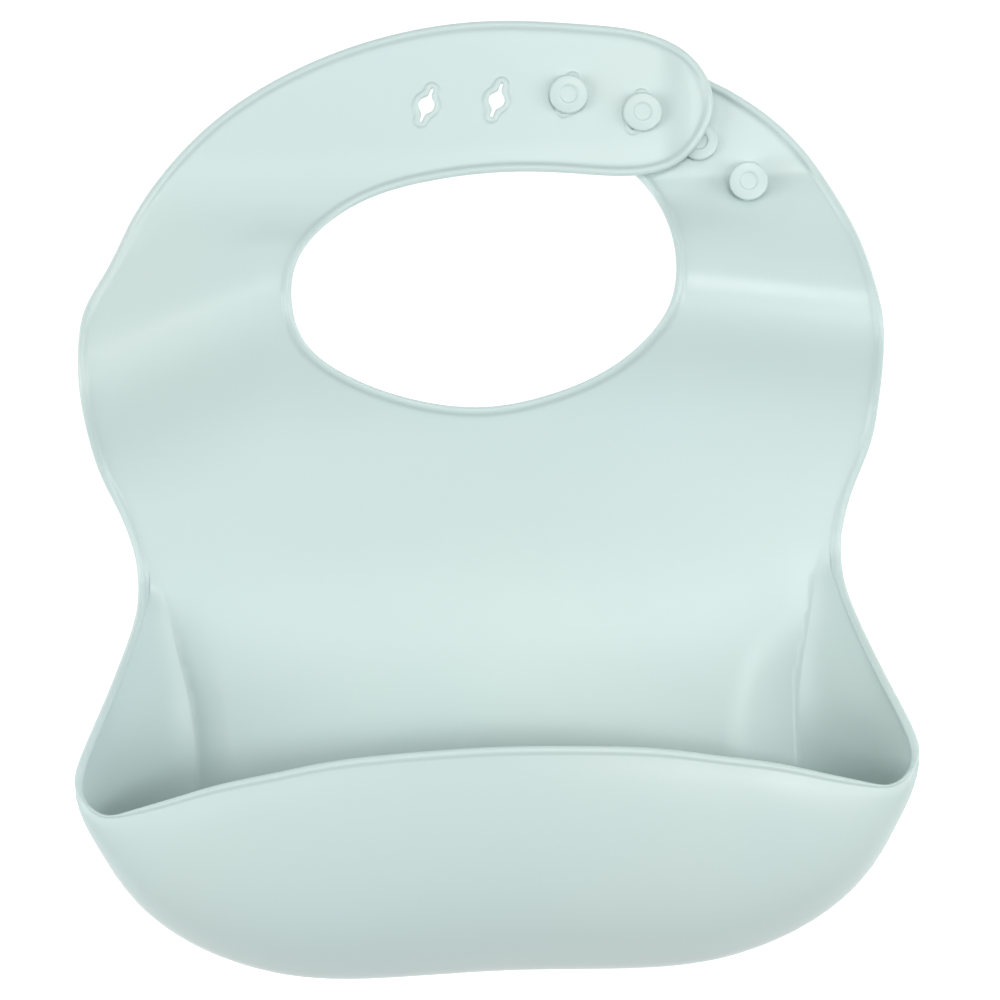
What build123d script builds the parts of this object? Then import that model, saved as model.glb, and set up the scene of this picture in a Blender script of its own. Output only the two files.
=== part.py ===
from build123d import *
from math import cos, hypot, pi, sin
import os

# Silicone catch bib lying on its back with its front face up and its neck loop closed.
# Millimetres. +X is to the right, +Y runs from the pocket to the neck, +Z comes out of the front.
# Z = 0 is the back of the flat panel.

# Sheet, edge bead and seams between the regions that fold
web_thickness = 1.5
bead_thickness = 2.5
bead_width = 2.5
seam_gap = 0.1
rim_gap = 0.02
# The pocket wall starts this far above the back face that the bib lies on
floor_clearance = 0.02

# Fold lines, as Y positions
waist_y = -19.0
shoulder_y = 55.0
strap_y = 80.0
top_y = 140.0

# The slot strap lies over the stud strap, and its tip rests on the third stud
strap_lift = 3.0
tip_lift = 4.4
tip_rise_start_x = 55.5
tip_rise_end_x = 60.0

# Keyhole slots in the slot strap
slot_centres = [(-12.8, 111.4), (7.2, 112.3), (27.7, 113.4), (48.1, 107.7)]
slot_leans = [22.0, 22.0, 16.0, 28.0]
grommet_radius = 7.25
keyhole_radius = 2.5
slit_width = 1.1
slit_length = 10.2
collar_radius = 4.3
collar_end_radius = 2.1
collar_end_distance = 4.3
collar_height = 0.5

# Mushroom studs on the stud strap; the third is pressed down under the strap's tip
stud_centres = [(27.7, 113.4), (48.1, 107.7), (64.8, 97.1), (77.8, 86.2)]
stud_gaps = [3.6, 3.6, 0.4, 3.6]
stem_root = 0.3
stem_radius = 2.3
cap_radius = 5.5
cap_thickness = 2.0
cap_rounding = 0.6
cap_recess_radius = 2.4
cap_recess_depth = 0.3

# Height of the back face along Y: flat over the pocket, with a soft ridge across the shoulders
chest_heights = [(-19.0, 0.0), (0.0, 0.1), (14.0, 2.0), (28.0, 6.4), (42.0, 11.2), (55.0, 13.0)]
left_heights = [(55.0, 13.0), (63.0, 12.0), (72.0, 8.6), (80.0, 5.2), (91.0, strap_lift)]
right_heights = [(55.0, 13.0), (63.0, 11.4), (72.0, 6.8), (80.0, 2.6), (89.0, 0.0)]
# Height of the slot strap's back face along X near its tip
tip_heights = [(tip_rise_start_x, strap_lift), (tip_rise_end_x, tip_lift)]

# Outer edge from below the waist up to the shoulder ridge, the same on both sides
side_edge = [
    (103.0, -31.0), (100.5, -21.0), (101.5, -12.0), (105.2, -1.0), (109.7, 9.5),
    (112.4, 22.0), (113.6, 35.0), (113.4, 46.0), (111.6, 56.0),
]
# Slot strap: over the left shoulder, round the tip, and back along the neck opening
slot_strap_edge = [
    (-105.4, 67.0), (-98.0, 81.0), (-88.0, 95.0), (-73.5, 108.7), (-49.9, 122.4),
    (-22.0, 131.3), (6.0, 134.2), (34.0, 132.1), (55.0, 127.3), (65.9, 118.0), (68.7, 109.0),
    (65.6, 99.6), (57.0, 92.2), (46.0, 89.8), (28.0, 90.6), (7.4, 91.4), (-12.0, 89.6),
    (-31.0, 84.6), (-44.0, 76.5), (-51.0, 67.0), (-52.7, 56.5), (-49.9, 45.3), (-39.5, 35.8),
    (-22.0, 28.2), (0.0, 24.6), (19.0, 27.4),
]
# Stud strap: over the right shoulder, round its hidden end, and back along the neck opening
stud_strap_edge = [
    (108.8, 67.0), (102.6, 81.0), (96.0, 92.0), (84.0, 104.9), (66.0, 116.4), (46.0, 124.3),
    (28.5, 127.2), (17.0, 122.2), (13.6, 112.6), (18.0, 103.2), (29.0, 98.4), (41.0, 92.9),
    (49.6, 84.4), (54.4, 74.0), (55.9, 62.5), (53.5, 51.0), (47.2, 42.4), (36.0, 34.0),
    (19.0, 27.4), (0.0, 24.6), (-22.0, 28.2),
]

# Pocket wall stations from the bottom centre to the right waist: seam with the panel (x, y),
# widest point (x, y, z), rim (x, y, z) and fullness of the curve between seam and widest point
pocket_stations = [
    ((0.0, -120.5), (0.0, -132.6, 22.0), (0.0, -69.8, 56.0), 2.0),
    ((25.0, -120.8), (27.0, -133.2, 22.5), (22.0, -70.4, 55.5), 2.0),
    ((48.0, -118.5), (52.0, -132.5, 24.0), (43.2, -71.9, 54.0), 2.0),
    ((66.0, -112.0), (71.5, -128.0, 26.0), (60.0, -74.6, 52.3), 2.0),
    ((76.5, -104.5), (87.5, -120.1, 29.0), (75.5, -77.3, 50.6), 1.9),
    ((82.5, -96.5), (100.4, -108.5, 33.5), (89.3, -80.8, 48.0), 1.75),
    ((85.0, -89.5), (108.6, -95.1, 38.0), (100.2, -83.4, 45.8), 1.6),
    ((85.8, -83.5), (113.3, -85.0, 41.0), (107.8, -84.0, 44.2), 1.45),
    ((86.0, -78.0), (114.9, -78.3, 42.0), (113.0, -80.0, 43.2), 1.35),
    ((86.0, -72.0), (114.6, -73.0, 40.0), (114.5, -73.3, 40.4), 1.3),
    ((86.3, -62.7), (110.9, -62.7, 33.0), (110.9, -62.7, 33.0), 1.25),
    ((87.8, -52.0), (106.6, -52.1, 24.5), (106.6, -52.1, 24.5), 1.25),
    ((90.2, -41.3), (102.8, -41.3, 14.5), (102.8, -41.3, 14.5), 1.25),
    ((92.3, -30.3), (99.8, -30.3, 6.0), (99.8, -30.3, 6.0), 1.25),
    ((94.0, -19.0), (99.25, -19.0, 1.25), (99.25, -19.0, 1.25), 1.25),
]
meridian_steps = 40
meridian_points = 9

# The gussets are the parts of the wall outside this X, above this Y and below this height
gusset_x = 84.5
gusset_y = -84.2
gusset_top_z = 43.8

# Extents of the shapes used to cut the sheets
half_span = 130.0
profile_reach = 150.0
sheet_ceiling = 40.0


def mirrored(points):
    """Return the points reflected in the YZ plane."""
    return [(-x, y) for x, y in points]


def station_rows():
    """Return all the pocket's stations as flat rows, from the left waist to the right waist."""
    right = [[*seam, *widest, *rim, fullness] for seam, widest, rim, fullness in pocket_stations]
    left = []
    for row in reversed(right[1:]):
        flipped = list(row)
        for index in (0, 2, 5):
            flipped[index] = -flipped[index]
        left.append(flipped)
    return left + right


def meridian(row):
    """Return closely spaced points up the wall's middle surface, from the seam to the rim."""
    seam_x, seam_y, wide_x, wide_y, wide_z, rim_x, rim_y, rim_z, fullness = row
    floor_z = web_thickness / 2 + floor_clearance
    points = []
    for i in range(meridian_steps + 1):
        angle = i / meridian_steps * pi / 2
        across = sin(angle) ** (2.0 / fullness)
        up = 1.0 - max(cos(angle), 0.0) ** (2.0 / fullness)
        points.append((
            seam_x + (wide_x - seam_x) * across,
            seam_y + (wide_y - seam_y) * across,
            floor_z + (wide_z - floor_z) * up,
        ))
    for i in range(1, meridian_steps + 1):
        angle = i / meridian_steps * pi / 2
        across = 1.0 - cos(angle)
        points.append((
            wide_x + (rim_x - wide_x) * across,
            wide_y + (rim_y - wide_y) * across,
            wide_z + (rim_z - wide_z) * sin(angle),
        ))
    return points


def evenly_spaced(points, count, stop_short):
    """Return count points at equal distances along a polyline that ends short of its last point."""
    lengths = [0.0]
    for a, b in zip(points, points[1:]):
        lengths.append(lengths[-1] + hypot(b[0] - a[0], b[1] - a[1], b[2] - a[2]))
    spaced = []
    segment = 0
    for i in range(count):
        target = (lengths[-1] - stop_short) * i / (count - 1)
        while segment < len(points) - 2 and lengths[segment + 1] < target:
            segment += 1
        span = lengths[segment + 1] - lengths[segment]
        share = (target - lengths[segment]) / span if span > 0 else 0.0
        a, b = points[segment], points[segment + 1]
        spaced.append(tuple(p + (q - p) * share for p, q in zip(a, b)))
    return spaced


def wall_section(before, here, after, at_waist):
    """Return the closed outline of the wall's thickness along one station's meridian."""
    outside = []
    inside = []
    for j, point in enumerate(here):
        along = Vector(*after[j]) - Vector(*before[j])
        if at_waist:
            along = Vector(0, along.Y, 0)
        up = Vector(*here[min(j + 1, len(here) - 1)]) - Vector(*here[max(j - 1, 0)])
        half = along.cross(up).normalized() * (web_thickness / 2)
        outside.append(Vector(*point) + half)
        inside.append(Vector(*point) - half)
    with BuildLine() as outline:
        Spline(*inside)
        Line(inside[-1], outside[-1])
        Spline(*reversed(outside))
        Line(outside[0], inside[0])
    return outline.wires()[0]


def window(low_x, high_x, low_y, high_y):
    """Return a rectangular sketch between the given limits."""
    with BuildSketch() as opening:
        with Locations(((low_x + high_x) / 2, (low_y + high_y) / 2)):
            Rectangle(high_x - low_x, high_y - low_y)
    return opening.sketch


def side_sketches(points):
    """Return one whole side of the bib and its edge band as two flat sketches."""
    with BuildLine() as edge:
        Spline(*points)
    with BuildSketch() as whole:
        with BuildLine():
            curve = Spline(*points)
            Polyline(curve @ 1, ((curve @ 1).X, (curve @ 0).Y), curve @ 0)
        make_face()
    with BuildSketch() as band:
        trace(edge.line, line_width=2 * bead_width)
        add(whole.sketch, mode=Mode.INTERSECT)
    return whole.sketch, band.sketch


def region(sketch, opening, without=None):
    """Return the part of a sketch seen through a window, less another sketch."""
    with BuildSketch() as piece:
        add(sketch)
        add(opening, mode=Mode.INTERSECT)
        if without is not None:
            add(without, mode=Mode.SUBTRACT)
    return piece.sketch


def pressed(sketch, heights, thickness, profile_plane=Plane.YZ):
    """Turn a flat sketch into a sheet whose back face follows the given heights, then runs level."""
    level = ((1, 0), (1, 0))
    with BuildPart() as sheet:
        with BuildSketch(profile_plane):
            with BuildLine():
                under = Spline(*heights, tangents=level)
                over = Spline(*[(along, z + thickness) for along, z in heights], tangents=level)
                end = top_y
                Polyline(under @ 1, (end, (under @ 1).Y), (end, (over @ 1).Y), over @ 1)
                Line(under @ 0, over @ 0)
            make_face()
        extrude(amount=profile_reach, both=True)
        with BuildSketch(Plane.XY):
            add(sketch)
        extrude(amount=sheet_ceiling, mode=Mode.INTERSECT)
    return sheet.part


def joined(pieces):
    """Fuse touching sheets into one piece."""
    with BuildPart() as whole:
        for piece in pieces:
            add(piece)
    return whole.part


def save(piece, name):
    """Label a piece and write it to its own file."""
    piece.label = name
    export_step(piece, f"parts/{name}.step")


def slot_strap_sheet(sketch, thickness):
    """Press the slot strap: flat over the stud strap, with its tip raised over the third stud."""
    flat = region(sketch, window(-half_span, tip_rise_start_x, strap_y, top_y))
    tip = region(sketch, window(tip_rise_start_x, half_span, strap_y, top_y))
    return joined([
        pressed(flat, left_heights, thickness),
        pressed(tip, tip_heights, thickness, Plane.XZ),
    ])


def grommet(centre, lean):
    """Make one keyhole slot: a disc of web with a raised collar round a hole with two slits."""
    back = Plane.XY.offset(strap_lift)
    with BuildPart() as disc:
        with BuildSketch(back):
            with Locations(centre):
                Circle(grommet_radius)
        extrude(amount=web_thickness)
        with BuildSketch(back):
            with Locations(Location(centre, 90.0 - lean)):
                Circle(collar_radius)
                with Locations((collar_end_distance, 0), (-collar_end_distance, 0)):
                    Circle(collar_end_radius)
        extrude(amount=web_thickness + collar_height)
        with BuildSketch(back):
            with Locations(Location(centre, 90.0 - lean)):
                Circle(keyhole_radius)
                SlotOverall(slit_length, slit_width)
        extrude(amount=web_thickness + collar_height, mode=Mode.SUBTRACT)
    return disc.part


def stud(centre, gap):
    """Make one mushroom stud: a stem that carries a rounded cap with a plain round recess."""
    cap_z = web_thickness + gap
    with BuildPart() as mushroom:
        with BuildSketch(Plane.XY.offset(web_thickness - stem_root)):
            with Locations(centre):
                Circle(stem_radius)
        extrude(amount=stem_root + gap)
        with BuildSketch(Plane.XY.offset(cap_z)):
            with Locations(centre):
                Circle(cap_radius)
        extrude(amount=cap_thickness)
        rims = mushroom.edges().filter_by(GeomType.CIRCLE)
        fillet([edge for edge in rims if edge.radius > stem_radius + 0.1], cap_rounding)
        with BuildSketch(Plane.XY.offset(cap_z + cap_thickness)):
            with Locations(centre):
                Circle(cap_recess_radius)
        extrude(amount=-cap_recess_depth, mode=Mode.SUBTRACT)
    return mushroom.part


def lower_panel():
    """Make the flat back panel that closes the pocket behind."""
    half = [seam for seam, widest, rim, fullness in pocket_stations]
    seam_points = mirrored(reversed(half[1:])) + half
    with BuildPart() as panel:
        with BuildSketch():
            with BuildLine():
                seam = Spline(*seam_points)
                Line(seam @ 1, seam @ 0)
            make_face()
        extrude(amount=web_thickness)
        with BuildSketch():
            add(window(-half_span, half_span, -half_span, waist_y - seam_gap / 2))
        extrude(amount=web_thickness, mode=Mode.INTERSECT)
    return panel.part


def pocket_wall():
    """Make the gussets and the front of the catch pocket as one thin wall."""
    stop_short = bead_thickness / 2 + rim_gap
    rows = [evenly_spaced(meridian(row), meridian_points, stop_short) for row in station_rows()]
    last = len(rows) - 1
    sections = []
    for i, row in enumerate(rows):
        before = rows[max(i - 1, 0)]
        after = rows[min(i + 1, last)]
        sections.append(wall_section(before, row, after, i in (0, last)))
    with BuildPart() as wall:
        add(Solid.make_loft(sections))
        with BuildSketch(Plane.XY.offset(-sheet_ceiling)):
            add(window(-half_span, half_span, -half_span - 10, waist_y - seam_gap / 2))
        extrude(amount=3 * sheet_ceiling, mode=Mode.INTERSECT)
    return wall.part


def gusset_block(sign):
    """Make the block that takes one gusset out of the wall, left for -1 and right for 1."""
    with BuildPart() as block:
        with BuildSketch():
            add(window(*sorted((sign * gusset_x, sign * half_span)), gusset_y, half_span))
        extrude(amount=gusset_top_z)
    return block.part


def pocket_lip():
    """Make the round bead that runs along the pocket's rim from waist to waist."""
    rim_points = [tuple(row[5:8]) for row in station_rows()]
    for end in (0, -1):
        rim_points[end] = (rim_points[end][0], waist_y - seam_gap / 2, rim_points[end][2])
    with BuildPart() as lip:
        with BuildLine():
            ends = ((0, -1, 0), (0, 1, 0))
            rim = Spline(*rim_points, tangents=ends, tangent_scalars=(0.5, 0.5))
        with BuildSketch(Plane(origin=rim @ 0, z_dir=rim % 0)):
            Circle(bead_thickness / 2)
        sweep(path=rim)
    return lip.part


os.makedirs("parts", exist_ok=True)

left_side, left_band = side_sketches(mirrored(side_edge) + slot_strap_edge)
right_side, right_band = side_sketches(side_edge + stud_strap_edge)

# Pocket
save(lower_panel(), "lower_panel")
whole_wall = pocket_wall()
left_block, right_block = gusset_block(-1), gusset_block(1)
for blocks, mode, name in (
    ([left_block], Mode.INTERSECT, "left_gusset"),
    ([left_block, right_block], Mode.SUBTRACT, "pocket_front"),
    ([right_block], Mode.INTERSECT, "right_gusset"),
):
    with BuildPart() as wall_piece:
        add(whole_wall)
        add(blocks, mode=mode)
    save(wall_piece.part, name)
save(pocket_lip(), "pocket_lip_bead")

# Chest
chest_low = waist_y + seam_gap / 2
chest_high = shoulder_y - seam_gap / 2
left_chest = window(-half_span, 0.0, chest_low, chest_high)
right_chest = window(0.0, half_span, chest_low, chest_high)
chest_panel = joined([
    pressed(region(left_side, left_chest, left_band), chest_heights, web_thickness),
    pressed(region(right_side, right_chest, right_band), chest_heights, web_thickness),
])
save(chest_panel, "chest_panel")

neck_half_width = 80.0
left_neck = window(-neck_half_width, 0.0, chest_low, chest_high)
right_neck = window(0.0, neck_half_width, chest_low, chest_high)
neck_bead = joined([
    pressed(region(left_band, left_neck), chest_heights, bead_thickness),
    pressed(region(right_band, right_neck), chest_heights, bead_thickness),
])
save(neck_bead, "neck_bead")
for band, low_x, high_x, name in (
    (left_band, -half_span, -neck_half_width, "left_side_bead"),
    (right_band, neck_half_width, half_span, "right_side_bead"),
):
    side = window(low_x, high_x, chest_low, chest_high)
    save(pressed(region(band, side), chest_heights, bead_thickness), name)

# Shoulders
shoulder_low = shoulder_y + seam_gap / 2
shoulder_high = strap_y - seam_gap / 2
for side, band, heights, sign, name in (
    (left_side, left_band, left_heights, -1, "left_shoulder"),
    (right_side, right_band, right_heights, 1, "right_shoulder"),
):
    across = window(-half_span, half_span, shoulder_low, shoulder_high)
    half = region(across, window(*sorted((0.0, sign * half_span)), shoulder_low, shoulder_high))
    outer = window(*sorted((sign * 78.0, sign * half_span)), shoulder_low, shoulder_high)
    inner = window(*sorted((0.0, sign * 78.0)), shoulder_low, shoulder_high)
    save(pressed(region(side, half, band), heights, web_thickness), name)
    save(pressed(region(band, outer), heights, bead_thickness), f"{name}_outer_bead")
    save(pressed(region(band, inner), heights, bead_thickness), f"{name}_inner_bead")

# Slot strap
strap_low = strap_y + seam_gap / 2
strap_window = window(-half_span, half_span, strap_low, top_y)
with BuildPart() as slot_strap_web:
    add(slot_strap_sheet(region(left_side, strap_window, left_band), web_thickness))
    with BuildSketch():
        with Locations(*slot_centres):
            Circle(grommet_radius)
    extrude(amount=sheet_ceiling, mode=Mode.SUBTRACT)
save(slot_strap_web.part, "slot_strap_web")
save(slot_strap_sheet(region(left_band, strap_window), bead_thickness), "slot_strap_bead")
for number, (centre, lean) in enumerate(zip(slot_centres, slot_leans), 1):
    save(grommet(centre, lean), f"slot_grommet_{number}")

# Stud strap
stud_web = region(right_side, strap_window, right_band)
save(pressed(stud_web, right_heights, web_thickness), "stud_strap_web")
save(pressed(region(right_band, strap_window), right_heights, bead_thickness), "stud_strap_bead")
for number, (centre, gap) in enumerate(zip(stud_centres, stud_gaps), 1):
    save(stud(centre, gap), f"stud_{number}")
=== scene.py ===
import math

import bmesh
import bpy
import numpy as np
from mathutils.geometry import delaunay_2d_cdt
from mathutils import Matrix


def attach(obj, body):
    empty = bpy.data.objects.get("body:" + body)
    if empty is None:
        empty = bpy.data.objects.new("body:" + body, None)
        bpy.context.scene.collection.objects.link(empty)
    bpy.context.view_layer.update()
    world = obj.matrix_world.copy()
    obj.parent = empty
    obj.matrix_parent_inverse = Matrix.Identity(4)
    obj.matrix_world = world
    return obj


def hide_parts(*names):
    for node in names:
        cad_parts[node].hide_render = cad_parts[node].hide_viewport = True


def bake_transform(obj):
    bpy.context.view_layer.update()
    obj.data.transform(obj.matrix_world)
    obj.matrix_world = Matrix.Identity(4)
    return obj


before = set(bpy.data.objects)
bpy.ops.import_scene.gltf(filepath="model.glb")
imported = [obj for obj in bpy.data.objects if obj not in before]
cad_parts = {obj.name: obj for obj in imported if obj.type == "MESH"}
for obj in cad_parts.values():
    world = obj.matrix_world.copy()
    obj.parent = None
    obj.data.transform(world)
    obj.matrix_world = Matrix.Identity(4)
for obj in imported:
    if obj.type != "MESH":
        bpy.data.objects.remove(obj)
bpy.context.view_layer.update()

# All the shape's numbers are in millimetres, in the frame's own axes.
MM = 0.001

# Sheet and edge bead, as in the CAD. Where the sheet lies flat its back is level with the bead's,
# so its middle lies below the bead's centre by this offset
WEB = 1.5
BEAD = 2.5
BEAD_RADIUS = BEAD / 2
FLAT_OFFSET = -(BEAD - WEB) / 2

# The bead runs into the sheet through a small fillet, which the CAD leaves out
FILLET = 1.4
FILLET_POINTS = 5
BEAD_POINTS = 15

# Mesh: a border of rows across the edge, and a regular grid that fills the rest of the sheet and
# keeps clear of the border and the holes. Slivers are left out and close points are welded
BORDER = 6.5
BORDER_POINTS = 4
EDGE_STEP = 1.5
EDGE_SAMPLES = 8001
TANGENT_STEP = 0.01
GRID_STEP = 1.8
EDGE_CLEARANCE = 0.7 * GRID_STEP
HOLE_CLEARANCE = 0.5 * GRID_STEP
SLIVER_AREA = 1e-4
WELD_DISTANCE = 0.004

# The pocket's wall ends at the waist; the two seams between pieces lie away from the three folds
WAIST_Y = -19.0
CHEST_SEAM_Y = 12.0
STRAP_SEAM_Y = 67.0

# Back-face heights along y, from the flat pocket over the shoulder ridge to the strap
LEFT_HEIGHTS = [
    (-19.0, 0.0), (-3.0, 0.1), (11.0, 1.4), (23.0, 4.8), (32.5, 9.0), (40.5, 12.1), (48.0, 13.0),
    (56.0, 12.1), (66.0, 9.3), (77.0, 6.2), (88.0, 4.1), (100.0, 3.2),
]
RIGHT_HEIGHTS = [
    (-19.0, 0.0), (-2.0, 0.5), (14.0, 2.1), (26.0, 4.7), (35.0, 8.7), (42.0, 12.0), (50.0, 13.2),
    (59.0, 12.0), (69.0, 7.6), (79.0, 3.1), (90.0, 0.0),
]

# The two sides' heights blend within this distance of the middle, and the slot strap's tip lifts
# over the third stud
SIDE_BLEND_X = 40.0
TIP_LIFT = 1.4
TIP_START_X = 54.0
TIP_END_X = 62.0

# The shoulder ridge runs a little higher on the body beside the neck than at the outer edge; the
# skew eases in and out between these pairs of y
LEFT_RIDGE_SKEW = 0.35
RIGHT_RIDGE_SKEW = 0.15
RIDGE_CENTRE_X = 87.0
RIDGE_INNER_X = 60.0
SKEW_STARTS_Y = (-10.0, 25.0)
SKEW_ENDS_Y = (70.0, 84.0)

# Inside the pocket the panel is slightly crowned and drops to the gusset crease in a soft facet,
# steeper and narrower on the left; slopes and low widths are given as (left, right)
FACET_SLOPES = (0.36, 0.22)
FACET_LOW_WIDTHS = (10.0, 18.0)
FACET_TOP_WIDTH = 8.0
FACET_TOP_Y = -12.0
FACET_FULL_Y = -52.0
FACET_WIDEST_Y = -72.0
FACET_ROUNDING = 2.5

# One closed edge line: left side, slot strap and its tip, neck opening, stud strap, right side
SIDE_EDGE = [
    (103.0, -31.0), (100.5, -21.0), (101.5, -12.0), (105.2, -1.0), (109.7, 9.5),
    (112.4, 22.0), (113.6, 35.0), (113.4, 46.0), (111.6, 56.0),
]
SLOT_STRAP_EDGE = [
    (-105.4, 67.0), (-98.0, 81.0), (-88.0, 95.0), (-73.5, 108.7), (-49.9, 122.4),
    (-22.0, 131.3), (6.0, 134.2), (34.0, 132.1), (55.0, 127.3), (65.9, 118.0), (68.7, 109.0),
    (65.6, 99.2), (57.3, 91.2), (46.0, 88.6), (28.0, 89.9), (7.4, 91.0), (-12.0, 89.4),
    (-31.0, 84.6), (-44.0, 76.5), (-51.0, 67.0), (-52.7, 56.5), (-49.9, 45.3), (-39.5, 35.8),
    (-22.0, 28.2), (0.0, 24.6),
]
STUD_STRAP_EDGE = [
    (108.8, 67.0), (102.6, 81.0), (96.0, 92.0), (84.0, 104.9), (66.0, 116.4), (46.0, 124.3),
    (28.5, 127.2), (17.0, 122.2), (13.6, 112.6), (18.0, 103.2), (29.0, 98.4), (41.0, 92.9),
    (49.6, 84.4), (54.4, 74.0), (55.9, 62.5), (53.5, 51.0), (47.2, 42.4), (36.0, 34.0),
    (19.0, 27.4),
]

# Pocket stations from the bottom centre to the right waist: seam (x, y), widest point (x, y, z),
# rim (x, y, z) and fullness of the curve between seam and widest point
POCKET_STATIONS = [
    (0.0, -120.5, 0.0, -132.6, 22.0, 0.0, -69.8, 56.0, 2.0),
    (25.0, -120.8, 27.0, -133.2, 22.5, 22.0, -70.4, 55.5, 2.0),
    (48.0, -118.5, 52.0, -132.5, 24.0, 43.2, -71.9, 54.0, 2.0),
    (66.0, -112.0, 71.5, -128.0, 26.0, 60.0, -74.6, 52.3, 2.0),
    (76.5, -104.5, 87.5, -120.1, 29.0, 75.5, -77.3, 50.6, 1.9),
    (82.5, -96.5, 100.4, -108.5, 33.5, 89.3, -80.8, 48.0, 1.75),
    (85.0, -89.5, 108.6, -95.1, 38.0, 100.2, -83.4, 45.8, 1.6),
    (85.8, -83.5, 113.3, -85.0, 41.0, 107.8, -84.0, 44.2, 1.45),
    (86.0, -78.0, 114.9, -78.3, 42.0, 113.0, -80.0, 43.2, 1.35),
    (86.0, -72.0, 114.6, -73.0, 40.0, 114.5, -73.3, 40.4, 1.3),
    (86.3, -62.7, 110.9, -62.7, 33.0, 110.9, -62.7, 33.0, 1.25),
    (87.8, -52.0, 106.6, -52.1, 24.5, 106.6, -52.1, 24.5, 1.25),
    (90.2, -41.3, 102.8, -41.3, 14.5, 102.8, -41.3, 14.5, 1.25),
    (92.3, -30.3, 99.8, -30.3, 6.0, 99.8, -30.3, 6.0, 1.25),
    (94.0, -19.0, 99.25, -19.0, 1.25, 99.25, -19.0, 1.25, 1.25),
]
MIRRORED_COLUMNS = (0, 2, 5)
HEIGHT_COLUMNS = (4, 7)
STATION_DIVISIONS = 7
WALL_SAMPLES = 61
WALL_POINTS = 34

# Near the waist the rim's bead comes level with the wall's back, and its direction is smoothed
# along the rim, so that it doesn't kink at the pocket's corners
RIM_LEVELS_Y = -36.0
RIM_SMOOTHING = 40

# The wall's outer face stops just short of the bead where the two are level and need no fillet
OUTER_FACE_SHARE = 0.999

# Keyhole slots: centre of each, and how far its slit leans from the y axis, in degrees
SLOT_CENTRES = [(-12.8, 111.0), (7.2, 111.6), (27.6, 112.3), (47.0, 106.7)]
SLOT_LEANS = [22.0, 20.0, 18.0, 17.0]
KEYHOLE_RADIUS = 2.3
SLIT_HALF_WIDTH = 0.45
SLIT_HALF_LENGTH = 5.1
KEYHOLE_BLEND = 1.2

# Points in a ring round a keyhole, which gather towards the slit's ends, and the search along a
# ray for each of them: how far it reaches and how often it halves
KEYHOLE_POINTS = 96
KEYHOLE_GATHER = 0.42
KEYHOLE_REACH = 20.0
KEYHOLE_HALVINGS = 40
# Distance from the hole's edge and height above the web, across the raised collar
COLLAR_SECTION = [
    (0.0, 0.25), (0.12, 0.4), (0.3, 0.5), (0.55, 0.55), (0.875, 0.55), (1.2, 0.5), (1.45, 0.38),
    (1.63, 0.2), (1.75, 0.04), (1.95, 0.0), (2.4, 0.0),
]

# Studs: centre of each, and the gap that its stem leaves between web and cap; the third is
# pressed down by the other strap's tip
STUD_CENTRES = [(27.7, 112.3), (48.5, 106.5), (64.3, 98.0), (77.8, 85.7)]
STUD_GAPS = [3.6, 3.6, 0.4, 3.6]
STEM_RADIUS = 2.3
STEM_NECK = 0.25
CAP_RADIUS = 5.5
CAP_THICKNESS = 2.0
CAP_ROUNDING = 0.55
CAP_CROWN = 0.1
CAP_ARC_POINTS = 7
STUD_SIDES = 72
# A stem's foot as (distance outside the stem, height above the web)
FOOT_SECTION = [(0.9, -0.25), (0.35, 0.1), (0.0, 0.4)]
# The cap's top face and its round recess as (radius, height above the cap's top)
TOP_SECTION = [
    (4.2, -0.02), (3.2, 0.0), (2.75, 0.0), (2.6, -0.03), (2.48, -0.12), (2.4, -0.2),
    (2.2, -0.24), (1.2, -0.22), (0.0, -0.21),
]

# Pale mint silicone
SILICONE_COLOUR = (0.525, 0.647, 0.637)

# Studio, in metres: each light's name, place, size and power
LIGHTS = [
    ("left_ridge", (-0.24, 0.42, 1.35), (0.3, 0.25), 1.3),
    ("right_ridge", (0.2, 0.42, 1.35), (0.25, 0.3), 3.5),
    ("right_overhead", (0.5, -0.1, 1.3), (0.2, 0.5), 4.7),
    ("left_overhead", (-0.5, -0.1, 1.3), (0.2, 0.5), 1.5),
    ("right_side", (1.25, -0.1, 0.72), (0.7, 1.0), 11.1),
    ("left_side", (-1.25, -0.1, 0.72), (0.7, 1.0), 12.9),
    ("back", (0.1, 1.15, 0.9), (1.4, 0.6), 2.6),
]
WHITE = (1.0, 1.0, 1.0, 1.0)
WORLD_LIGHT = 0.072
FLOOR_COLOUR = (0.3, 0.3, 0.3, 1.0)
FLOOR_GLOW = 0.88
FLOOR_HALF_WIDTH = 3.0
FLOOR_HEIGHT = -0.0003
CAMERA_PLACE = (0.0037, -0.00205, 1.0)
CAMERA_TURN = -2.25
CAMERA_LENS = 126.0
CAMERA_SENSOR = 36.0


def smoothstep(value, low, high):
    """Ease from 0 at low to 1 at high."""
    t = np.clip((value - low) / (high - low), 0.0, 1.0)
    return t * t * (3.0 - 2.0 * t)


def lengths_along(line):
    """Return the length along a line at each of its points."""
    steps = np.linalg.norm(np.diff(line, axis=0), axis=1)
    return np.concatenate([[0.0], np.cumsum(steps)])


def resampled(line, measure, wanted):
    """Return a line's points at the wanted values of a measure, which is given at its points."""
    return np.column_stack([np.interp(wanted, measure, line[:, k]) for k in range(3)])


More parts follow.
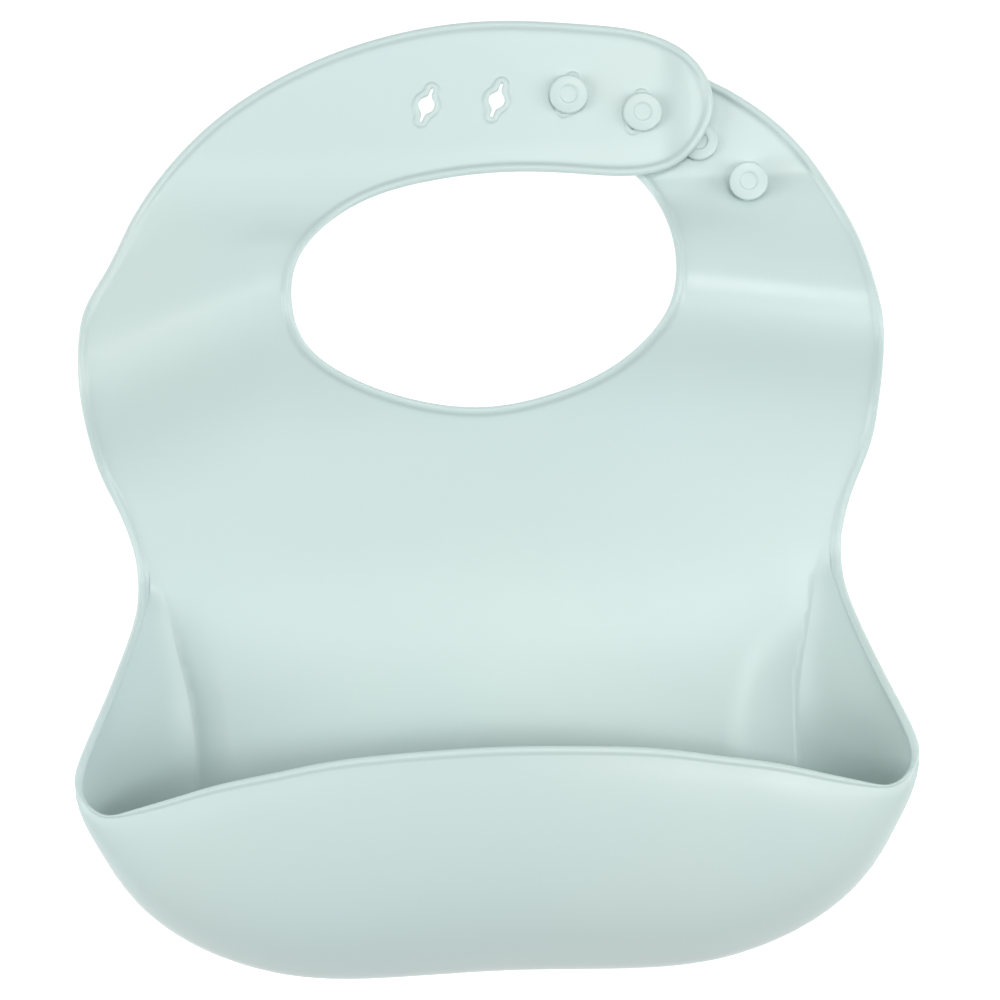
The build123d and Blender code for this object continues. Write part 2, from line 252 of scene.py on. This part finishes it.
class Spline:
    """A cubic through points with chord-length knots; level ends are flat, free ends natural."""

    def __init__(self, points, level=False, knots=None):
        self.points = np.asarray(points, float)
        self.knots = np.asarray(lengths_along(self.points) if knots is None else knots, float)
        self.bends = self._solve(level)

    def _solve(self, level):
        gaps = np.diff(self.knots)
        slopes = np.diff(self.points, axis=0) / gaps[:, None]
        count = len(self.knots)
        matrix = np.zeros((count, count))
        loads = np.zeros_like(self.points)
        for i in range(1, count - 1):
            matrix[i, i - 1:i + 2] = gaps[i - 1], 2 * (gaps[i - 1] + gaps[i]), gaps[i]
            loads[i] = 6 * (slopes[i] - slopes[i - 1])
        matrix[0, 0] = matrix[-1, -1] = 1.0
        if level:
            matrix[0, :2] = 2 * gaps[0], gaps[0]
            matrix[-1, -2:] = gaps[-1], 2 * gaps[-1]
            loads[0] = 6 * slopes[0]
            loads[-1] = -6 * slopes[-1]
        return np.linalg.solve(matrix, loads)

    def __call__(self, position):
        position = np.clip(np.asarray(position, float), self.knots[0], self.knots[-1])
        i = np.clip(np.searchsorted(self.knots, position) - 1, 0, len(self.knots) - 2)
        gap = (self.knots[i + 1] - self.knots[i])[..., None]
        after = (position - self.knots[i])[..., None]
        before = gap - after
        cubic = (before ** 3 * self.bends[i] + after ** 3 * self.bends[i + 1]) / (6 * gap)
        start = (self.points[i] / gap - self.bends[i] * gap / 6) * before
        end = (self.points[i + 1] / gap - self.bends[i + 1] * gap / 6) * after
        return cubic + start + end


def height_curve(heights):
    """Return a function from y to the back face's height."""
    ys, zs = zip(*heights)
    curve = Spline(np.array(zs)[:, None], level=True, knots=ys)
    return lambda y: curve(y)[..., 0]


left_curve = height_curve(LEFT_HEIGHTS)
right_curve = height_curve(RIGHT_HEIGHTS)


def side_height(curve, skew, x, y):
    """Back-face height on one side, where the ridge rises towards the neck."""
    inward = RIDGE_CENTRE_X - np.maximum(np.abs(x), RIDGE_INNER_X)
    share = smoothstep(y, *SKEW_STARTS_Y) * (1 - smoothstep(y, *SKEW_ENDS_Y))
    return curve(y - skew * inward * share)


def body_height(x, y):
    """Back-face height of the pocket's panel, the chest and both shoulders."""
    right = smoothstep(x, -SIDE_BLEND_X, SIDE_BLEND_X)
    left_part = (1 - right) * side_height(left_curve, LEFT_RIDGE_SKEW, x, y)
    return left_part + right * side_height(right_curve, RIGHT_RIDGE_SKEW, x, y)


def slot_strap_height(x, y):
    """Back-face height of the slot strap, whose tip rests on the third stud."""
    ridge = side_height(left_curve, LEFT_RIDGE_SKEW, x, y)
    return ridge + TIP_LIFT * smoothstep(x, TIP_START_X, TIP_END_X)


def stud_strap_height(x, y):
    """Back-face height of the stud strap."""
    return side_height(right_curve, RIGHT_RIDGE_SKEW, x, y)


def mirror_points(points):
    """Return the points reflected in the YZ plane."""
    return [(-x, y) for x, y in points]


def edge_ranges():
    """Split the edge line at the waist and the seams, as points with their inward directions."""
    control = mirror_points(SIDE_EDGE) + SLOT_STRAP_EDGE
    control += list(reversed(STUD_STRAP_EDGE)) + list(reversed(SIDE_EDGE))
    curve = Spline(control)
    dense = np.linspace(0.0, curve.knots[-1], EDGE_SAMPLES)
    ys = curve(dense)[:, 1]
    cuts = []
    for level in (WAIST_Y, CHEST_SEAM_Y, STRAP_SEAM_Y):
        crossing = np.nonzero(np.diff(np.sign(ys - level)))[0]
        for i in crossing:
            share = (level - ys[i]) / (ys[i + 1] - ys[i])
            cuts.append(dense[i] + share * (dense[i + 1] - dense[i]))
    cuts.sort()
    names = (
        "left_waist", "left_shoulder", "slot_strap", "neck", "stud_strap",
        "right_shoulder", "right_waist",
    )
    ranges = {}
    for name, low, high in zip(names, cuts, cuts[1:]):
        position = np.linspace(low, high, int((high - low) / EDGE_STEP) + 1)
        tangent = curve(position + TANGENT_STEP) - curve(position - TANGENT_STEP)
        tangent /= np.linalg.norm(tangent, axis=1)[:, None]
        inward = np.stack([tangent[:, 1], -tangent[:, 0]], axis=1)
        ranges[name] = (curve(position), inward)
    return ranges


class Shell:
    """Vertices and faces of one moulded piece, gathered part by part."""

    def __init__(self):
        self.vertices = []
        self.faces = []

    def add_points(self, points):
        """Add points and return the first one's number."""
        start = len(self.vertices)
        self.vertices.extend(map(tuple, np.asarray(points, float).reshape(-1, 3)))
        return start

    def add_grid(self, grid, closed=False):
        """Add a grid of points as quads, rows joined to rows; closed rows run in a ring."""
        rows, columns = grid.shape[:2]
        start = self.add_points(grid)
        for i in range(rows - 1):
            for j in range(columns if closed else columns - 1):
                a = start + i * columns + j
                b = start + i * columns + (j + 1) % columns
                self.faces.append((a, b, b + columns, a + columns))

    def add_sheet(self, outline, holes, height, crown=None):
        """Fill a flat outline with a triangulated grid, as a top and a bottom face."""
        points, triangles = fill_outline(outline, holes)
        base = height(points[:, 0], points[:, 1])
        if crown is not None:
            base = base + crown(points)
        for lift, order in ((WEB, (0, 1, 2)), (0.0, (0, 2, 1))):
            start = self.add_points(np.column_stack([points, base + lift]))
            for triangle in triangles:
                self.faces.append(tuple(start + triangle[k] for k in order))

    def build(self, name):
        """Weld the parts and return the piece as a smooth-shaded object in metres."""
        mesh = bpy.data.meshes.new(name)
        mesh.from_pydata([tuple(c * MM for c in v) for v in self.vertices], [], self.faces)
        welder = bmesh.new()
        welder.from_mesh(mesh)
        bmesh.ops.remove_doubles(welder, verts=welder.verts, dist=WELD_DISTANCE * MM)
        bmesh.ops.recalc_face_normals(welder, faces=welder.faces)
        welder.to_mesh(mesh)
        welder.free()
        mesh.shade_smooth()
        piece = bpy.data.objects.new(name, mesh)
        bpy.context.scene.collection.objects.link(piece)
        return piece


def inside(points, polygon):
    """Tell which points lie inside a polygon, by counting crossings."""
    hit = np.zeros(len(points), bool)
    ends = np.roll(polygon, -1, axis=0)
    for (ax, ay), (bx, by) in zip(polygon, ends):
        if ay == by:
            continue
        spans = (ay > points[:, 1]) != (by > points[:, 1])
        crossing = ax + (points[:, 1] - ay) * (bx - ax) / (by - ay)
        hit ^= spans & (points[:, 0] < crossing)
    return hit


def distance_to(points, line):
    """Return each point's distance to the nearest vertex of a dense line."""
    nearest = np.full(len(points), np.inf)
    for start in range(0, len(line), 64):
        gaps = points[:, None, :] - line[None, start:start + 64, :]
        nearest = np.minimum(nearest, np.linalg.norm(gaps, axis=2).min(axis=1))
    return nearest


def fill_outline(outline, holes):
    """Triangulate the inside of an outline, less its holes, over a regular grid of points."""
    low = outline.min(axis=0)
    high = outline.max(axis=0)
    xs = np.arange(math.floor(low[0] / GRID_STEP), high[0] / GRID_STEP) * GRID_STEP
    ys = np.arange(math.floor(low[1] / GRID_STEP), high[1] / GRID_STEP) * GRID_STEP
    grid = np.stack(np.meshgrid(xs, ys), axis=-1).reshape(-1, 2)
    keep = inside(grid, outline) & (distance_to(grid, outline) > EDGE_CLEARANCE)
    for hole in holes:
        keep &= ~inside(grid, hole) & (distance_to(grid, hole) > HOLE_CLEARANCE)
    points = [*map(tuple, outline)]
    edges = [(i, (i + 1) % len(outline)) for i in range(len(outline))]
    for hole in holes:
        start = len(points)
        points.extend(map(tuple, hole))
        edges.extend((start + i, start + (i + 1) % len(hole)) for i in range(len(hole)))
    points.extend(map(tuple, grid[keep]))
    found, _, faces, _, _, _ = delaunay_2d_cdt(points, edges, [], 0, 1e-6)
    flat = np.array([tuple(p) for p in found])
    faces = np.array([tuple(f) for f in faces])
    a, b, c = (flat[faces[:, k]] for k in range(3))
    first = b - a
    second = c - a
    area = np.abs(first[:, 0] * second[:, 1] - second[:, 0] * first[:, 1])
    centres = (a + b + c) / 3
    wanted = inside(centres, outline) & (area > SLIVER_AREA)
    for hole in holes:
        wanted &= ~inside(centres, hole)
    return flat, faces[wanted]


def between(a, b):
    """Return evenly spaced points from a to b, without the two ends."""
    count = int(np.linalg.norm(b - a) / GRID_STEP)
    return a + (b - a) * (np.arange(1, count) / count)[:, None]


def bead_arc(offset):
    """Return the bead's section as (along, across) pairs, filleted into a web at this offset."""
    turns = []
    fillets = []
    for side in (1, -1):
        across = WEB / 2 + side * offset + FILLET
        along = -math.sqrt(max((BEAD_RADIUS + FILLET) ** 2 - across ** 2, 0.0))
        turn = math.atan2(across, -along)
        angles = np.linspace(-math.pi / 2, -turn, FILLET_POINTS)
        round_off = FILLET * np.stack([np.cos(angles), np.sin(angles)], axis=1)
        fillets.append((round_off + (along, across)) * (1, side))
        turns.append(math.pi - turn)
    angles = np.linspace(turns[0], -turns[1], BEAD_POINTS)[1:-1]
    bead = BEAD_RADIUS * np.stack([np.cos(angles), np.sin(angles)], axis=1)
    return np.concatenate([fillets[0], bead, fillets[1][::-1]])


def border_rows(points, inward, height, web_points=BORDER_POINTS):
    """Return the section of the sheet's beaded border at each edge point, top to bottom."""
    arc = bead_arc(FLAT_OFFSET)
    web_end = BEAD_RADIUS - arc[0, 0]
    rows = []
    for edge, normal in zip(points, inward):
        depth = np.linspace(BORDER, web_end, web_points + 1)[:-1]
        reach = np.concatenate([depth, BEAD_RADIUS - arc[:, 0], depth[::-1]])
        lift = np.concatenate([
            np.full(web_points, WEB), BEAD_RADIUS + arc[:, 1], np.zeros(web_points),
        ])
        flat = edge + reach[:, None] * normal
        base = height(flat[:, 0], flat[:, 1])
        rows.append(np.column_stack([flat, base + lift]))
    return np.array(rows)


def station_table():
    """Return the pocket's stations from the left waist to the right waist."""
    right = np.array(POCKET_STATIONS)
    left = right[:0:-1].copy()
    left[:, MIRRORED_COLUMNS] *= -1
    return np.concatenate([left, right])


def wall_line(seam, wide, rim, fullness):
    """Return evenly spaced points up the wall, from its seam past its widest point to its rim."""
    angle = np.linspace(0, math.pi / 2, WALL_SAMPLES)
    out = np.sin(angle) ** (2 / fullness)
    up = 1 - np.clip(np.cos(angle), 0, 1) ** (2 / fullness)
    lower = seam + (wide - seam) * np.column_stack([out, out, up])
    over = (1 - np.cos(angle))[1:]
    rise = np.sin(angle)[1:]
    upper = wide + (rim - wide) * np.column_stack([over, over, rise])
    line = np.concatenate([lower, upper])
    length = lengths_along(line)
    return resampled(line, length, np.linspace(0, length[-1], WALL_POINTS))


def meridians():
    """Return the wall's middle surface as a grid of lines up it, and the offset at each rim point."""
    table = station_table()
    knots = np.arange(len(table))
    position = np.linspace(0, knots[-1], knots[-1] * STATION_DIVISIONS + 1)
    rows = Spline(table, knots=knots)(position)
    heights = Spline(table[:, HEIGHT_COLUMNS], level=True, knots=knots)
    rows[:, HEIGHT_COLUMNS] = heights(position)
    grid = []
    offsets = []
    for seam_x, seam_y, wide_x, wide_y, wide_z, rim_x, rim_y, rim_z, fullness in rows:
        offset = FLAT_OFFSET * smoothstep(rim_y, RIM_LEVELS_Y, WAIST_Y)
        seam = np.array([seam_x, seam_y, WEB / 2])
        wide = np.array([wide_x, wide_y, wide_z + offset])
        rim = np.array([rim_x, rim_y, rim_z + offset])
        grid.append(wall_line(seam, wide, rim, fullness))
        offsets.append(offset)
    return np.array(grid), np.array(offsets)


def unit(vectors):
    """Scale vectors to length one."""
    return vectors / np.maximum(np.linalg.norm(vectors, axis=-1, keepdims=True), 1e-9)


def smoothed(vectors, rounds):
    """Average neighbouring directions along a line, leaving its two ends as they are."""
    for _ in range(rounds):
        vectors = unit(np.concatenate([
            vectors[:1], vectors[:-2] + 2 * vectors[1:-1] + vectors[2:], vectors[-1:],
        ]))
    return vectors


def trimmed(line, share):
    """Resample a line over its first share of length, without the end point."""
    position = np.linspace(0, share * (len(line) - 1), WALL_POINTS)[:-1]
    return resampled(line, np.arange(len(line)), position)


def pocket_rows():
    """Return the wall's section at each rim point: inner face, rim bead, outer face."""
    grid, offsets = meridians()
    along = np.gradient(grid, axis=0)
    # Both ends run straight along the body, and the seam lies flat on the panel
    along[0] = (0, -1, 0)
    along[-1] = (0, 1, 0)
    climb = unit(np.gradient(grid, axis=1))
    normal = unit(np.cross(climb, along))
    normal[:, 0] = (0, 0, 1)
    rim_up = smoothed(climb[:, -1], RIM_SMOOTHING)
    rim_across = smoothed(normal[:, -1], RIM_SMOOTHING)
    rows = []
    for i, offset in enumerate(offsets):
        arc = bead_arc(offset)
        centre = grid[i, -1] - offset * rim_across[i]
        bead = centre + arc[:, :1] * rim_up[i] + arc[:, 1:] * rim_across[i]
        reach = np.linalg.norm(np.diff(grid[i], axis=0), axis=1).sum()
        share = 1 - np.array([-arc[0, 0], -arc[-1, 0]]) / reach
        inner = trimmed(grid[i] + normal[i] * WEB / 2, share[0])
        outer = trimmed(grid[i] - normal[i] * WEB / 2, min(share[1], OUTER_FACE_SHARE))
        rows.append(np.concatenate([inner, bead, outer[::-1]]))
    return np.array(rows)


def panel_crown(seam):
    """Return a function for the panel's crown: a soft facet that falls to the seam line."""
    def crown(points):
        right = smoothstep(points[:, 0], -SIDE_BLEND_X, SIDE_BLEND_X)
        low_width = np.interp(right, (0, 1), FACET_LOW_WIDTHS)
        share = (FACET_TOP_Y - points[:, 1]) / (FACET_TOP_Y - FACET_WIDEST_Y)
        width = FACET_TOP_WIDTH + (low_width - FACET_TOP_WIDTH) * np.clip(share, 0.0, 1.0)
        depth = distance_to(points, seam)
        soft = (depth + width - np.hypot(depth - width, FACET_ROUNDING)) / 2
        flat = (width - np.hypot(width, FACET_ROUNDING)) / 2
        slope = np.interp(right, (0, 1), FACET_SLOPES)
        slope *= smoothstep(-points[:, 1], -FACET_TOP_Y, -FACET_FULL_Y)
        return slope * np.clip(soft - flat, 0, None)
    return crown


def keyhole_distance(points):
    """Distance from a keyhole's edge: a round hole softly joined to a slit."""
    hole = np.linalg.norm(points, axis=1) - KEYHOLE_RADIUS
    reach = np.maximum(np.abs(points[:, 0]) - (SLIT_HALF_LENGTH - SLIT_HALF_WIDTH), 0)
    slit = np.hypot(reach, points[:, 1]) - SLIT_HALF_WIDTH
    overlap = np.maximum(KEYHOLE_BLEND - np.abs(hole - slit), 0) / KEYHOLE_BLEND
    return np.minimum(hole, slit) - overlap ** 2 * KEYHOLE_BLEND / 4


def keyhole_rings(depths):
    """Return rings round a keyhole at the given distances from its edge, slit along x."""
    turn = np.linspace(0, 2 * math.pi, KEYHOLE_POINTS, endpoint=False)
    angle = turn - KEYHOLE_GATHER * np.sin(2 * turn)
    ray = np.column_stack([np.cos(angle), np.sin(angle)])
    rings = []
    for depth in depths:
        low = np.zeros(len(angle))
        high = np.full(len(angle), KEYHOLE_REACH)
        for _ in range(KEYHOLE_HALVINGS):
            middle = (low + high) / 2
            far = keyhole_distance(ray * middle[:, None]) > depth
            high = np.where(far, middle, high)
            low = np.where(far, low, middle)
        rings.append(ray * low[:, None])
    return np.array(rings)


def add_keyhole(shell, centre, lean, height):
    """Add one collared keyhole to a shell and return the outline it needs cut from the sheet."""
    depths, lifts = zip(*COLLAR_SECTION)
    turn = math.radians(90 - lean)
    rotation = np.array([[math.cos(turn), math.sin(turn)], [-math.sin(turn), math.cos(turn)]])
    rings = keyhole_rings(depths) @ rotation + np.array(centre)
    base = height(rings[..., 0], rings[..., 1])
    top = np.concatenate([rings, (base + WEB + np.array(lifts)[:, None])[..., None]], axis=2)
    wall = [np.column_stack([rings[0], base[0] + z]) for z in (WEB + lifts[0], WEB / 2, 0.0)]
    under = np.concatenate([rings, base[..., None]], axis=2)
    shell.add_grid(top, closed=True)
    shell.add_grid(np.array(wall), closed=True)
    shell.add_grid(under[[0, -1]], closed=True)
    return rings[-1]


def make_front(ranges):
    """Pocket, gussets and the chest below the neck, as one piece that folds at the waist."""
    shell = Shell()
    # The border has as many points across as the pocket's wall, so that the two join at the waist
    left, right = (
        border_rows(*ranges[name], body_height, WALL_POINTS - 1)[::-1]
        for name in ("left_waist", "right_waist")
    )
    pocket = pocket_rows()
    rows = np.concatenate([left[:-1], pocket, right[1:]])
    shell.add_grid(rows)
    inner = rows[:, 0, :2]
    outline = np.concatenate([inner, between(inner[-1], inner[0])])
    shell.add_sheet(outline, [], body_height, panel_crown(pocket[:, 0, :2]))
    return shell.build("bib_front")


def make_shoulders(ranges):
    """Chest either side of the neck and both shoulders, as one piece that folds at the ridge."""
    shell = Shell()
    outline = []
    for name in ("left_shoulder", "neck", "right_shoulder"):
        rows = border_rows(*ranges[name], body_height)
        shell.add_grid(rows)
        inner = rows[:, 0, :2]
        if outline:
            outline.append(between(outline[-1][-1], inner[0]))
        outline.append(inner)
    outline.append(between(outline[-1][-1], outline[0][0]))
    shell.add_sheet(np.concatenate(outline), [], body_height)
    return shell.build("bib_shoulders")


def make_strap(name, stretch, height, slots=()):
    """One strap: its beaded border, its collared keyhole slots if it has any, and its sheet."""
    shell = Shell()
    rows = border_rows(*stretch, height)
    shell.add_grid(rows)
    inner = rows[:, 0, :2]
    holes = [add_keyhole(shell, centre, lean, height) for centre, lean in slots]
    outline = np.concatenate([inner, between(inner[-1], inner[0])])
    shell.add_sheet(outline, holes, height)
    return shell.build(name)


def stud_profile(gap):
    """Return a stud's section as (radius, height), from its foot in the sheet to its axis."""
    low = WEB + gap
    top = low + CAP_THICKNESS
    shoulder = CAP_RADIUS - CAP_ROUNDING
    stem = [(STEM_RADIUS + outside, WEB + rise) for outside, rise in FOOT_SECTION]
    stem += [(STEM_RADIUS, low - STEM_NECK), (STEM_RADIUS + STEM_NECK, low)]
    # The foot of the pressed-down stud reaches no higher than its cap
    stem = [(radius, min(height, low)) for radius, height in stem]
    turns = np.linspace(0.0, math.pi / 2, CAP_ARC_POINTS)
    across = shoulder + CAP_ROUNDING * np.sin(turns)
    rise = CAP_ROUNDING * (1 - np.cos(turns))
    lower = list(zip(across, low + rise))
    upper = list(zip(across[::-1], top - CAP_CROWN - rise[::-1]))
    face = [(radius, top + height) for radius, height in TOP_SECTION]
    return stem + lower + upper + face


def make_stud(number, centre, gap):
    """One mushroom stud, turned from its profile, with a plain round recess in its cap."""
    turns = np.linspace(0, 2 * math.pi, STUD_SIDES, endpoint=False)
    grid = np.array([
        [(centre[0] + radius * math.cos(a), centre[1] + radius * math.sin(a), z) for a in turns]
        for radius, z in stud_profile(gap)
    ])
    shell = Shell()
    shell.add_grid(grid, closed=True)
    return shell.build(f"stud_cap_{number}")


def silicone(name, colour):
    """Pale moulded silicone: satin, faintly mottled, with a fine skin."""
    material = bpy.data.materials.new(name)
    material.use_nodes = True
    tree = material.node_tree
    nodes = tree.nodes
    links = tree.links
    shader = nodes["Principled BSDF"]
    place = nodes.new("ShaderNodeTexCoord")

    def noise(scale, detail, roughness=0.5):
        """A noise texture fixed to the piece."""
        texture = nodes.new("ShaderNodeTexNoise")
        texture.inputs["Scale"].default_value = scale
        texture.inputs["Detail"].default_value = detail
        texture.inputs["Roughness"].default_value = roughness
        links.new(place.outputs["Object"], texture.inputs["Vector"])
        return texture.outputs["Fac"]

    def ranged(source, low, high, to_low, to_high):
        """Map a value from one range to another."""
        spread = nodes.new("ShaderNodeMapRange")
        spread.inputs["From Min"].default_value = low
        spread.inputs["From Max"].default_value = high
        spread.inputs["To Min"].default_value = to_low
        spread.inputs["To Max"].default_value = to_high
        links.new(source, spread.inputs["Value"])
        return spread.outputs["Result"]

    def bump(height, strength, distance):
        """A bump of the given height pattern."""
        relief = nodes.new("ShaderNodeBump")
        relief.inputs["Strength"].default_value = strength
        relief.inputs["Distance"].default_value = distance
        links.new(height, relief.inputs["Height"])
        return relief

    # Colour: a faint mottling between a cooler and a warmer tint
    tint = nodes.new("ShaderNodeMix")
    tint.data_type = "RGBA"
    cool, warm = (socket for socket in tint.inputs if socket.type == "RGBA")
    cool.default_value = (*colour, 1.0)
    warm.default_value = (colour[0] * 1.02, colour[1], colour[2] * 0.98, 1.0)
    mottling = ranged(noise(scale=9.0, detail=2.0), low=0.35, high=0.65, to_low=0.0, to_high=1.0)
    links.new(mottling, tint.inputs["Factor"])
    body = next(socket for socket in tint.outputs if socket.type == "RGBA")
    links.new(body, shader.inputs["Base Color"])

    # Gloss: satin, with a slight haze
    haze = ranged(noise(scale=34.0, detail=3.0), low=0.3, high=0.7, to_low=0.28, to_high=0.32)
    links.new(haze, shader.inputs["Roughness"])
    shader.inputs["IOR"].default_value = 1.41
    shader.inputs["Specular IOR Level"].default_value = 0.5
    shader.inputs["Sheen Weight"].default_value = 0.08
    shader.inputs["Sheen Roughness"].default_value = 0.6

    # Surface: a fine moulded skin over slight waves
    skin = bump(noise(scale=1400.0, detail=2.0, roughness=0.6), strength=0.12, distance=0.00008)
    waves = bump(noise(scale=60.0, detail=1.0), strength=0.15, distance=0.0006)
    links.new(skin.outputs["Normal"], waves.inputs["Normal"])
    links.new(waves.outputs["Normal"], shader.inputs["Normal"])
    return material


def floor_material():
    """A plain, bright, matt studio floor."""
    material = bpy.data.materials.new("studio_floor")
    material.use_nodes = True
    shader = material.node_tree.nodes["Principled BSDF"]
    shader.inputs["Base Color"].default_value = FLOOR_COLOUR
    shader.inputs["Roughness"].default_value = 0.9
    shader.inputs["Specular IOR Level"].default_value = 0.1
    shader.inputs["Emission Color"].default_value = WHITE
    shader.inputs["Emission Strength"].default_value = FLOOR_GLOW
    return material


def add_light(name, location, size, power):
    """Add an area light that looks at the bib's centre."""
    lamp = bpy.data.lights.new(name, "AREA")
    lamp.shape = "RECTANGLE"
    lamp.size, lamp.size_y = size
    lamp.energy = power
    light = bpy.data.objects.new(name, lamp)
    light.location = location
    light.rotation_euler = (-light.location).to_track_quat("-Z", "Y").to_euler()
    bpy.context.scene.collection.objects.link(light)


def add_floor():
    """Add the studio's floor, just below the bib."""
    mesh = bpy.data.meshes.new("floor")
    half = FLOOR_HALF_WIDTH
    corners = [(-half, -half, 0), (half, -half, 0), (half, half, 0), (-half, half, 0)]
    mesh.from_pydata(corners, [], [(0, 1, 2, 3)])
    floor = bpy.data.objects.new("floor", mesh)
    floor.location.z = FLOOR_HEIGHT
    floor.data.materials.append(floor_material())
    bpy.context.scene.collection.objects.link(floor)


def add_surroundings():
    """Light the scene evenly and faintly from all round."""
    world = bpy.data.worlds.new("studio")
    world.use_nodes = True
    sky = world.node_tree.nodes["Background"]
    sky.inputs["Color"].default_value = WHITE
    sky.inputs["Strength"].default_value = WORLD_LIGHT
    bpy.context.scene.world = world
    bpy.context.scene.view_settings.view_transform = "Standard"


def add_camera():
    """Add the camera, straight above the bib and turned a little."""
    lens = bpy.data.cameras.new("camera")
    lens.sensor_width = CAMERA_SENSOR
    lens.lens = CAMERA_LENS
    camera = bpy.data.objects.new("camera", lens)
    camera.location = CAMERA_PLACE
    camera.rotation_euler = (0.0, 0.0, math.radians(CAMERA_TURN))
    bpy.context.scene.collection.objects.link(camera)
    bpy.context.scene.camera = camera


ranges = edge_ranges()
pale = silicone("pale_silicone", SILICONE_COLOUR)

front = make_front(ranges)
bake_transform(front)
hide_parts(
    "lower_panel", "pocket_front", "left_gusset", "right_gusset", "pocket_lip_bead",
)

shoulders = make_shoulders(ranges)
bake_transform(shoulders)
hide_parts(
    "chest_panel", "left_side_bead", "right_side_bead", "neck_bead",
    "left_shoulder", "left_shoulder_outer_bead", "left_shoulder_inner_bead",
    "right_shoulder", "right_shoulder_outer_bead", "right_shoulder_inner_bead",
)

slots = zip(SLOT_CENTRES, SLOT_LEANS)
slot_strap = make_strap("slot_strap", ranges["slot_strap"], slot_strap_height, slots)
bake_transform(slot_strap)
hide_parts("slot_strap_web", "slot_strap_bead")
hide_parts(*[f"slot_grommet_{number}" for number in range(1, 5)])

stud_strap = make_strap("stud_strap", ranges["stud_strap"], stud_strap_height)
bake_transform(stud_strap)
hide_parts("stud_strap_web", "stud_strap_bead")

for piece in (front, shoulders, slot_strap, stud_strap):
    piece.data.materials.append(pale)

for number, (centre, gap) in enumerate(zip(STUD_CENTRES, STUD_GAPS), 1):
    stud = make_stud(number, centre, gap)
    stud.data.materials.append(pale)
    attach(stud, "stud_strap")
    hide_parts(f"stud_{number}")

add_floor()
for light in LIGHTS:
    add_light(*light)
add_surroundings()
add_camera()
